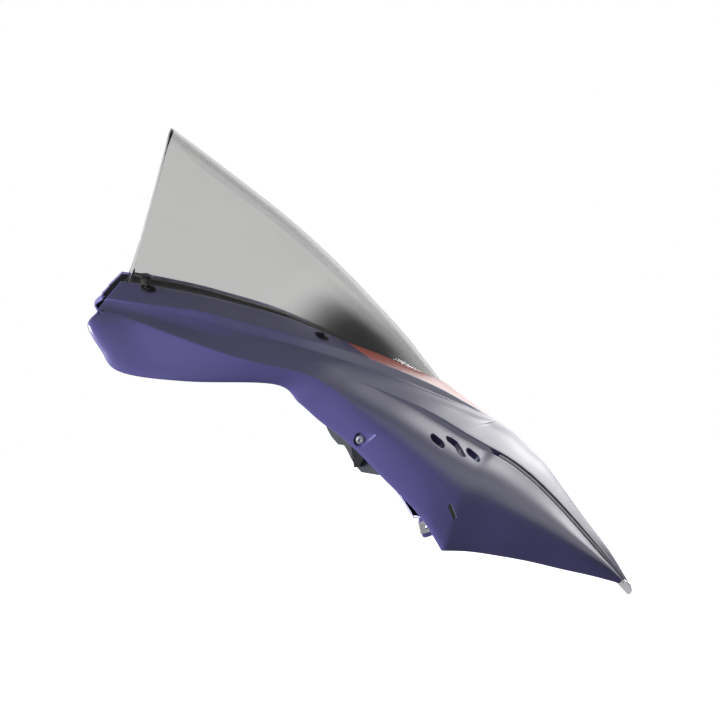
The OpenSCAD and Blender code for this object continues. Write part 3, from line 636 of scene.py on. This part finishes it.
circle = lambda r, n=48: arc(0, 0, r, 0, 360 - 360 / n, n - 1)
rect = lambda x0, y0, x1, y1: [[x0, y0], [x1, y0], [x1, y1], [x0, y1]]
for s_, outl in ((AT_A, oval(26, 17)), (AT_S, grow(ZIGR, 2)), (AT_B, oval(26, 17))):
    cut(cowl, two(prism(s_, outl, -10, -1.2)), "UNION")
cut(cowl, two(prism(AT_SIDE, circle(8.5), -8, -1.8)), "UNION")
BACK = roundpoly([[-5, -8.5], [5, -8.5], [19, 3], [19.5, 6], [18, 9], [-2, 11.5], [-6.5, 9], [-8.5, 4], [-8.5, -3]], 2)
cut(cowl, two(prism(AT_SIDE, BACK, -5, -1.8)), "UNION")
cut(cowl, rprism(AT_TAB, roundpoly([[14, 4], [10, 14], [0, 16], [-11, 9], [-5, -15], [6, -13]], 3), -11, -8, 0.5), "UNION")
cut(cowl, prism(AT_TAB, rect(3, 2, 12, 12), -9, -1.8), "UNION")
POCKET = roundpoly(arc(0, 0, 6.5, 140, 320, 24) + [(16, 5), (17, 6), (16.5, 7), (-2, 9), (-4, 8)], 0.8, 3)
cut(cowl, join(two(mouth(AT_A, oval(22, 13), 14)), two(mouth(AT_S, ZIGR, 14)), two(mouth(AT_B, oval(22, 13), 14)),
               two(prism(AT_SLOT, roundpoly(rect(-10, -2.5, 10, 2.5), 1.6), -12, 12)),
               two(loft(AT_SIDE, [(POCKET, -2.6), (grow(POCKET, 0.4), -0.6), (grow(POCKET, 1.1), 1.2), (grow(POCKET, 1.4), 4), (grow(POCKET, 1.4), 9)])),
               two(prism(SCREWS[0], circle(2.9), -8, 8)), two(prism(SCREWS[1], circle(2.9), -8, 8))))
cut(cowl, join(two(prism(AT_SIDE, circle(3.3), -30, 10)), prism(Spot(AT_CLIP((1, -1, 0)), TAB[1], [0.25, 0, -0.97]), circle(3, 36), -14, -7)))
shade(cowl, 30)
done(cowl, "cowl")

# ------------------------------------------------------------------ windscreen
st = lambda u: 0.25 + u * 0.875 if u < 2 else u
side = lambda u: r0(st(u))
lap_d = lambda u: unit(s1(st(u)) - r0(st(u)))
strip_n = lambda u: unit(np.cross(s1(u) - r0(u), r0(min(u + 0.1, 9.99)) - r0(max(u - 0.1, 0))))
lap_n = lambda u: unit(np.cross(s1(10) - r0(10), [0, 1, 0])) if u > 9.99 else strip_n(st(u))
under = lambda u: side(u) - lap_n(u) * (COWL_T + PAD_GAP)
RIDGE2 = np.vstack([RIDGE, under(10)[None]])
VS = [i / 12 for i in range(121)]
SR = 44


def screen_row(u):
    a, b = cr(RIDGE2, u, 0, 10), under(u)
    h = math.hypot(b[0] - a[0], b[2] - a[2])
    p, q = a - A([0, abs(b[1]) * ARCH, 0]), b - lap_d(u) * h * 0.22
    rows = [b if u > 9.99 else (1 - t) ** 3 * a + 3 * (1 - t) ** 2 * t * p + 3 * (1 - t) * t * t * q + t ** 3 * b for t in [i / SR for i in range(SR + 1)]]
    return rows + [b + lap_d(u) * LAP * i / 10 for i in range(1, 11)]


SG = np.array([screen_row(u) for u in VS]); NV, NS_ = SG.shape[:2]
SI = np.zeros_like(SG)
for c in range(NV):
    for r in range(NS_):
        a = A([0, 1, 0]) if c == NV - 1 else SG[c + 1, r] - SG[max(c - 1, 0), r]
        b = lap_d(10) if c == NV - 1 else (A([0, -1, 0]) if r == 0 else SG[c, min(r + 1, NS_ - 1)] - SG[c, r - 1])
        SI[c, r] = SG[c, r] - unit(np.cross(b, a)) * SCREEN_T


def screen_shell(nseg=4):
    ids, V, F, rims = {}, [], [], []
    def vid(s, k, c, r):
        if c == NV - 1 and r < SR: r = SR
        if r == 0 or c == NV - 1: s = 0
        key = (s, k, c, r)
        if key not in ids:
            p = (SG if k == 0 else SI)[c, r]
            ids[key] = len(V); V.append(p if s == 0 else p * MIR)
        return ids[key]
    for s in (0, 1):
        for c in range(NV - 1):
            for r in range(NS_ - 1):
                a = [vid(s, 0, c, r), vid(s, 0, c + 1, r), vid(s, 0, c + 1, r + 1), vid(s, 0, c, r + 1)]
                b = [vid(s, 1, c, r + 1), vid(s, 1, c + 1, r + 1), vid(s, 1, c + 1, r), vid(s, 1, c, r)]
                F += [a, b] if s == 0 else [a[::-1], b[::-1]]
        rims += [(s, (0, r), (0, r + 1), SG[0, r] - SG[1, r]) for r in range(NS_ - 1)]
        rims += [(s, (c, NS_ - 1), (c + 1, NS_ - 1), SG[c, NS_ - 1] - SG[c, NS_ - 2]) for c in range(NV - 1)]
    dirs = {}
    for s, a, b, e in rims:
        e = unit(e) if s == 0 else unit(e) * MIR
        for x in (a, b):
            k = vid(s, 0, *x); dirs.setdefault(k, [np.zeros(3), vid(s, 1, *x)]); dirs[k][0] = dirs[k][0] + e
    rows = {}
    for k, (e, ki) in dirs.items():
        mid, h = (V[k] + V[ki]) / 2, (V[k] - V[ki]) / 2
        e = unit(e); e = unit(e - unit(h) * (e @ unit(h))); rows[k] = [k]
        for j in range(1, nseg):
            t = math.pi * j / nseg
            rows[k].append(len(V)); V.append(mid + h * math.cos(t) + e * 0.35 * SCREEN_T * math.sin(t))
        rows[k].append(ki)
    for s, a, b, e in rims:
        ra, rb = rows[vid(s, 0, *a)], rows[vid(s, 0, *b)]
        for j in range(nseg):
            q = [ra[j], rb[j], rb[j + 1], ra[j + 1]]
            F.append(q if s == 1 else q[::-1])
    return V, [list(dict.fromkeys(q)) for q in F]


v, f = screen_shell()
screen = mesh_from("windscreen_sheet", v, f, [M_SCREEN], 40)
cut(screen, join(two(prism(SCREWS[0], circle(3), -COWL_T - PAD_GAP - SCREEN_T - 8, 3)), two(prism(SCREWS[1], circle(3), -COWL_T - PAD_GAP - SCREEN_T - 8, 3))))
shade(screen, 40)
done(screen, "windscreen")


# ------------------------------------------------------------------ foam pads
def pad(lo, hi, a, b, n=40, m=14):
    V, F = [], []
    for i in range(n + 1):
        u = lo + (hi - lo) * i / n
        base, nn, dd = side(u), lap_n(u), lap_d(u)
        g = PAD_GAP - 0.5
        loop = [(a + 0.3 + (b - a - 0.6) * j / m, COWL_T + 0.32) for j in range(m + 1)] + [(b, COWL_T + 0.4), (b, COWL_T + g - 0.1)]
        loop += [(b - 0.3 - (b - a - 0.6) * j / m, COWL_T + g) for j in range(m + 1)] + [(a, COWL_T + g - 0.1), (a, COWL_T + 0.4)]
        V += [base - nn * z + dd * x for x, z in loop]
    k = len(loop)
    for i in range(n):
        for j in range(k):
            F.append([i * k + j, (i + 1) * k + j, (i + 1) * k + (j + 1) % k, i * k + (j + 1) % k])
    F += [list(range(k))[::-1], list(range(n * k, (n + 1) * k))]
    return V, F


for nm, (lo_, hi_, a_, b_, i_) in {"rear_pads": (0.5, 2.0, -1.5, 19, 0), "front_pads": (4.5, 5.5, 3, 26, 1)}.items():
    o = mesh_from(nm + "_foam", *two(pad(lo_, hi_, a_, b_)), [M_FOAM])
    cut(o, two(prism(SCREWS[i_], circle(3.2), -16, 4)))
    shade(o, 40)
    done(o, nm)

# ------------------------------------------------------------------ screen fasteners
def dome(r, z, h, R=9.0, n=8):
    """Button head: from the socket's rim to the head's edge."""
    out = []
    for i in range(n + 1):
        x = 2.5 + (r - 2.5) * i / n
        out.append((x, min(z + h, z + h - R + math.sqrt(R * R - x * x)), 0))
    return out


WT, HH = 1.2, 2.8
head = [(0, WT + 1.1 - 0.5, 0), (1.2, WT + 1.1 - 0.2, 0), (1.75, WT + 1.1, 1), (1.8, WT + 1.3, 1), (1.8, WT + HH - 0.5, 1), (2.05, WT + HH - 0.3, 0)]
head += [(x, z, k) for x, z, k in dome(4.75, WT, HH)]
head += [(4.75, WT + 0.35, 0), (4.6, WT + 0.08, 0), (4.4, WT, 0), (2.5, WT, 0), (2.5, WT - 2.5, 0)]
shank = thread(2.5, WT + 0.5 - 22 + 0.8, WT - 2.6, 0.8)[::-1] + [(1.9, WT + 0.5 - 22, 0), (0, WT + 0.5 - 22, 0)]
prof = (head + shank)[::-1]
o = mesh_from("screen_screws_set", *join(two(ring(SCREWS[0], prof)), two(ring(SCREWS[1], prof))), [M_BLACK], 34)
done(o, "screen_screws")

wash = [(2.7, 0.12, 0), (2.85, 0, 0), (8.2, 0, 0), (8.45, 0.12, 0), (8.5, 0.4, 0), (8.45, 0.75, 0), (8.15, 1.05, 0), (7.4, 1.17, 0), (6.0, 1.2, 0), (2.9, 1.2, 0), (2.7, 1.05, 0)]
o = mesh_from("screen_washers_set", *join(two(tube(SCREWS[0], wash, 72)), two(tube(SCREWS[1], wash, 72))), [M_RUB], 34)
done(o, "screen_washers")

WZ = COWL_T + PAD_GAP + SCREEN_T + 0.7
well = [(2.7, -WZ - 0.1, 0), (2.9, -WZ, 0), (7.1, -WZ, 0), (7.5, -WZ - 0.35, 0), (7.5, -WZ - 1.1, 0), (7.1, -WZ - 1.5, 0), (5.4, -WZ - 1.5, 0), (5.0, -WZ - 1.8, 0)]
well += [(5.0 - 0.25 * (i % 2), -WZ - 2.2 - i * 0.75, 0) for i in range(12)] + [(4.9, -WZ - 11.7, 0), (4.6, -WZ - 12, 0), (3.6, -WZ - 12, 0), (3.5, -WZ - 4.5, 0), (2.7, -WZ - 4.5, 0)]
o = mesh_from("well_nuts_set", *join(two(tube(SCREWS[0], well)), two(tube(SCREWS[1], well))), [M_RUB], 34)
done(o, "well_nuts")
ins = [(2.55, -WZ - 4.6, 0), (3.3, -WZ - 4.55, 0), (3.5, -WZ - 4.75, 0)] + [(3.5 - 0.12 * (i % 2), -WZ - 5.0 - i * 0.6, 0) for i in range(12)] + [(3.3, -WZ - 12.5, 0), (2.75, -WZ - 12.5, 0)]
ins += [(2.55 + 0.2 * (i % 2), -WZ - 12.2 + i * 0.5, 0) for i in range(15)]
o = mesh_from("well_nut_inserts_set", *join(two(tube(SCREWS[0], ins)), two(tube(SCREWS[1], ins))), [M_BRASS], 34)
done(o, "well_nut_inserts")

# ------------------------------------------------------------------ side screws and nuts
SZ = -2.6
sh = [(0, SZ + 1.4, 0), (1.6, SZ + 1.45, 0), (2.15, SZ + 1.55, 1), (2.2, SZ + 1.7, 1), (2.2, SZ + 2.5, 1), (2.5, SZ + 2.72, 0)]
for i in range(9):
    x = 2.9 + 2.1 * i / 8
    sh.append((x, SZ + min(2.85, 3 - 9 + math.sqrt(81 - x * x)), 0))
sh += [(5.0, SZ + 0.35, 0), (4.85, SZ + 0.08, 0), (4.7, SZ, 0), (3.0, SZ, 0), (3.0, SZ - 4, 0)]
sh += thread(3.0, SZ - 18 + 0.8, SZ - 4.1, 1.0)[::-1] + [(2.3, SZ - 18, 0), (0, SZ - 18, 0)]
o = mesh_from("side_screws_set", *two(ring(AT_SIDE, sh[::-1])), [M_BOLT], 34)
done(o, "side_screws")
NZ = -8 - 4
nut = [(3.05, NZ - 1.3, 0), (3.4, NZ - 1.0, 0), (6.7, NZ - 0.05, 0), (7.0, NZ - 0.3, 0), (7.0, NZ - 0.95, 0), (6.7, NZ - 1.2, 0), (5.6, NZ - 1.3, 1), (5.5, NZ - 1.6, 1), (5.5, NZ - 5.3, 1), (5.2, NZ - 5.95, 0), (3.4, NZ - 6, 0)]
nut += [(3.05 + 0.25 * (i % 2), NZ - 5.6 + i * 0.5, 0) for i in range(8)]
o = mesh_from("side_nuts_set", *two(tube(AT_SIDE, nut)), [M_STEEL], 34)
done(o, "side_nuts")

# ------------------------------------------------------------------ lens
def lens():
    V, F = [], []
    n = 110
    for i in range(n + 2):
        u = 11.5 + 5.5 * min(i, n) / n
        w = sm(u, 14, 16.5)
        d = (drop(u) + (CHANNEL_D - STEP_H) * chan(u) - 0.5) * (1 - 0.35 * w)
        g = sm(u, 11.5, 11.62) * 0.5 + 0.5
        fa, fb = 0.54 + (0.3 + 0.12 * w - 0.54) * g, 0.54 + (0.78 - 0.14 * w - 0.54) * g
        c = [lane(u, fa, 0.8 * tip(u) * (1 - w)), lane(u, fb, 2 * tip(u) * (1 - w)), lane(u, fb, d), lane(u, fa, d)]
        if i == n + 1: c = [p + A([4.5, 1.5, -7]) for p in c]
        row = []
        for j in range(4):
            a, b, e = c[j - 1], c[j], c[(j + 1) % 4]
            k1, k2 = min(0.3, 0.8 / np.linalg.norm(a - b)), min(0.3, 0.8 / np.linalg.norm(e - b))
            s, t_ = b + (a - b) * k1, b + (e - b) * k2
            row += [(1 - w) ** 2 * s + 2 * (1 - w) * w * b + w * w * t_ for w in (0, 0.33, 0.67, 1)]
        V += row
    k = 16
    for i in range(n + 1):
        for j in range(k):
            F.append([i * k + j, i * k + (j + 1) % k, (i + 1) * k + (j + 1) % k, (i + 1) * k + j])
    F += [list(range(k)), list(range((n + 1) * k, (n + 2) * k))[::-1]]
    return V, F


def hull(pts):
    bm = bmesh.new()
    bmesh.ops.convex_hull(bm, input=[bm.verts.new(p) for p in pts])
    bm.verts.index_update()
    out = [A(v.co) for v in bm.verts], [[v.index for v in f.verts] for f in bm.faces]
    bm.free()
    return out


o = mesh_from("nose_lens_strip", *two(lens()), [M_LENS], 40)
TIP = [[317.5, -7, -207.3], [324.5, -3.8, -204], [331.5, -1.8, -206.9], [334, -2, -209], [336.4, -1.6, -217], [334, -1.8, -221], [330, -2.5, -221.5]]
tipb = hull([A(p) for p in TIP] + [A([p[0], -p[1], p[2]]) for p in TIP] + [A([322, 0, -213])])
cut(o, tipb, "UNION")
shade(o, 40)
done(o, "nose_lens")

# ------------------------------------------------------------------ pieces that keep the CAD mesh, with rounded edges
for nm, mt, w in (("front_stay", M_STAY, 0.6), ("inner_tray", M_TRAY, 0.5), ("tray_rivets", M_PLAST, 0.4), ("edge_clips", M_CLIP, 0.25)):
    o = nodes[nm]
    o.data.materials.clear(); o.data.materials.append(mt)
    wd = o.modifiers.new("weld", "WELD"); wd.merge_threshold = 0.00002
    bv = o.modifiers.new("bevel", "BEVEL"); bv.width = w * MM; bv.segments = 3; bv.limit_method = "ANGLE"; bv.angle_limit = math.radians(38)
    bv.harden_normals = False

# ------------------------------------------------------------------ floor, light, camera
def plane(name, s, z, m):
    o = mesh_from(name, [A([-s, -s, z]), A([s, -s, z]), A([s, s, z]), A([-s, s, z])], [[0, 1, 2, 3]], [m])
    return o


def floor_material():
    m, nt, p = nodes_of("floor")
    lp = nt.nodes.new("ShaderNodeLightPath")
    v = noise(nt, 3)
    col = mix(nt, ramp(nt, v, 0.0, 1.0), (0.93, 0.93, 0.93), (0.91, 0.91, 0.91))
    g = nt.nodes.new("ShaderNodeNewGeometry"); sp = nt.nodes.new("ShaderNodeSeparateXYZ"); nt.links.new(g.outputs["Position"], sp.inputs[0])
    far = put(nt, "ShaderNodeMapRange", interpolation_type="SMOOTHSTEP", i_From_Min=0.05, i_From_Max=0.6, i_To_Min=0.14, i_To_Max=0.9)
    nt.links.new(sp.outputs[1], far.inputs["Value"])
    dim = nt.nodes.new("ShaderNodeCombineColor")
    for i in range(3): nt.links.new(far.outputs["Result"], dim.inputs[i])
    nt.links.new(mix(nt, lp.outputs["Is Camera Ray"], dim.outputs[0], col), p.inputs["Base Color"])
    p.inputs["Roughness"].default_value = 0.8
    p.inputs["Specular IOR Level"].default_value = 0.0
    p.inputs["Emission Color"].default_value = (1, 1, 1, 1)
    nt.links.new(math_(nt, "MULTIPLY", lp.outputs["Is Camera Ray"], 1.0), p.inputs["Emission Strength"])
    return m


plane("floor", 2300, -330, floor_material())

world = bpy.data.worlds.new("studio"); scene.world = world; world.use_nodes = True
wn = world.node_tree; wn.nodes.clear()
tcw = wn.nodes.new("ShaderNodeTexCoord"); sx = wn.nodes.new("ShaderNodeSeparateXYZ"); wn.links.new(tcw.outputs["Generated"], sx.inputs[0])


def smooth(val, a, b, lo=0.0, hi=1.0):
    n = put(wn, "ShaderNodeMapRange", interpolation_type="SMOOTHSTEP", i_From_Min=a, i_From_Max=b, i_To_Min=lo, i_To_Max=hi)
    wn.links.new(val, n.inputs["Value"])
    return n.outputs["Result"]


def lobe(axis, a, b, level):
    """Soft patch of light round a direction."""
    n = wn.nodes.new("ShaderNodeVectorMath"); n.operation = "DOT_PRODUCT"
    wn.links.new(tcw.outputs["Generated"], n.inputs[0]); n.inputs[1].default_value = tuple(unit(A(axis)))
    return smooth(n.outputs["Value"], a, b, 0.0, level)


wall_ = math_(wn, "MULTIPLY", smooth(sx.outputs[1], 0.2, 0.6, 0.0, 0.72), smooth(sx.outputs[2], 0.25, 0.6, 1.0, 0.0))
lev = math_(wn, "ADD", wall_, 0.08)
lev = math_(wn, "ADD", lev, lobe((-0.88, -0.46, -0.05), 0.7, 0.97, 1.6))
lev = math_(wn, "ADD", lev, lobe((1.0, -0.25, 0.0), 0.8, 0.97, 0.75))
lev = math_(wn, "ADD", lev, lobe((0.5, 0.1, 0.86), 0.75, 0.96, 0.10))
lp = wn.nodes.new("ShaderNodeLightPath")
lev = math_(wn, "MAXIMUM", lev, lp.outputs["Is Camera Ray"])
bg = wn.nodes.new("ShaderNodeBackground"); bg.inputs["Color"].default_value = (1, 1, 1, 1)
wn.links.new(lev, bg.inputs["Strength"])
ow = wn.nodes.new("ShaderNodeOutputWorld"); wn.links.new(bg.outputs[0], ow.inputs[0])


def soft(name, loc, target, size, power):
    l = bpy.data.lights.new(name, "AREA"); l.shape = "RECTANGLE"; l.size, l.size_y = size; l.energy = power
    o = bpy.data.objects.new(name, l); scene.collection.objects.link(o)
    o.location = loc
    o.rotation_mode = "QUATERNION"
    o.rotation_quaternion = (Vector(target) - Vector(loc)).to_track_quat("-Z", "Y")
    return o


soft("key_box", (-2.5, -1.6, 0.02), (-0.05, 0.0, 0.0), (1.4, 0.66), 150)
lamp = soft("front_box", (2.05, 1.25, 0.92), (0.0, 0.0, 0.0), (0.9, 0.9), 13)
clear = bpy.data.collections.new("not_under_front_box")
clear.objects.link(screen)
lamp.light_linking.receiver_collection = clear
clear.collection_objects[0].light_linking.link_state = "EXCLUDE"
lamp = soft("side_box", (0.95, 2.2, 0.60), (0.05, 0.0, 0.05), (1.6, 1.0), 6)
lamp.visible_camera = False
lamp.light_linking.receiver_collection = clear

cam = bpy.data.cameras.new("camera"); co = bpy.data.objects.new("camera", cam); scene.collection.objects.link(co)
az, el, dist = math.radians(-6.3), math.radians(4.6), 2.5
bk = Vector((math.sin(az) * math.cos(el), -math.cos(az) * math.cos(el), math.sin(el)))
co.location = Vector((0, 0, 0.070)) + bk * dist
co.rotation_mode = "QUATERNION"
co.rotation_quaternion = (-bk).to_track_quat("-Z", "Y")
cam.sensor_width = 36; cam.sensor_fit = "HORIZONTAL"; cam.lens = 2083.33 * 36 / 720
cam.clip_start, cam.clip_end = 0.05, 60
scene.camera = co
scene.view_settings.view_transform = "Standard"
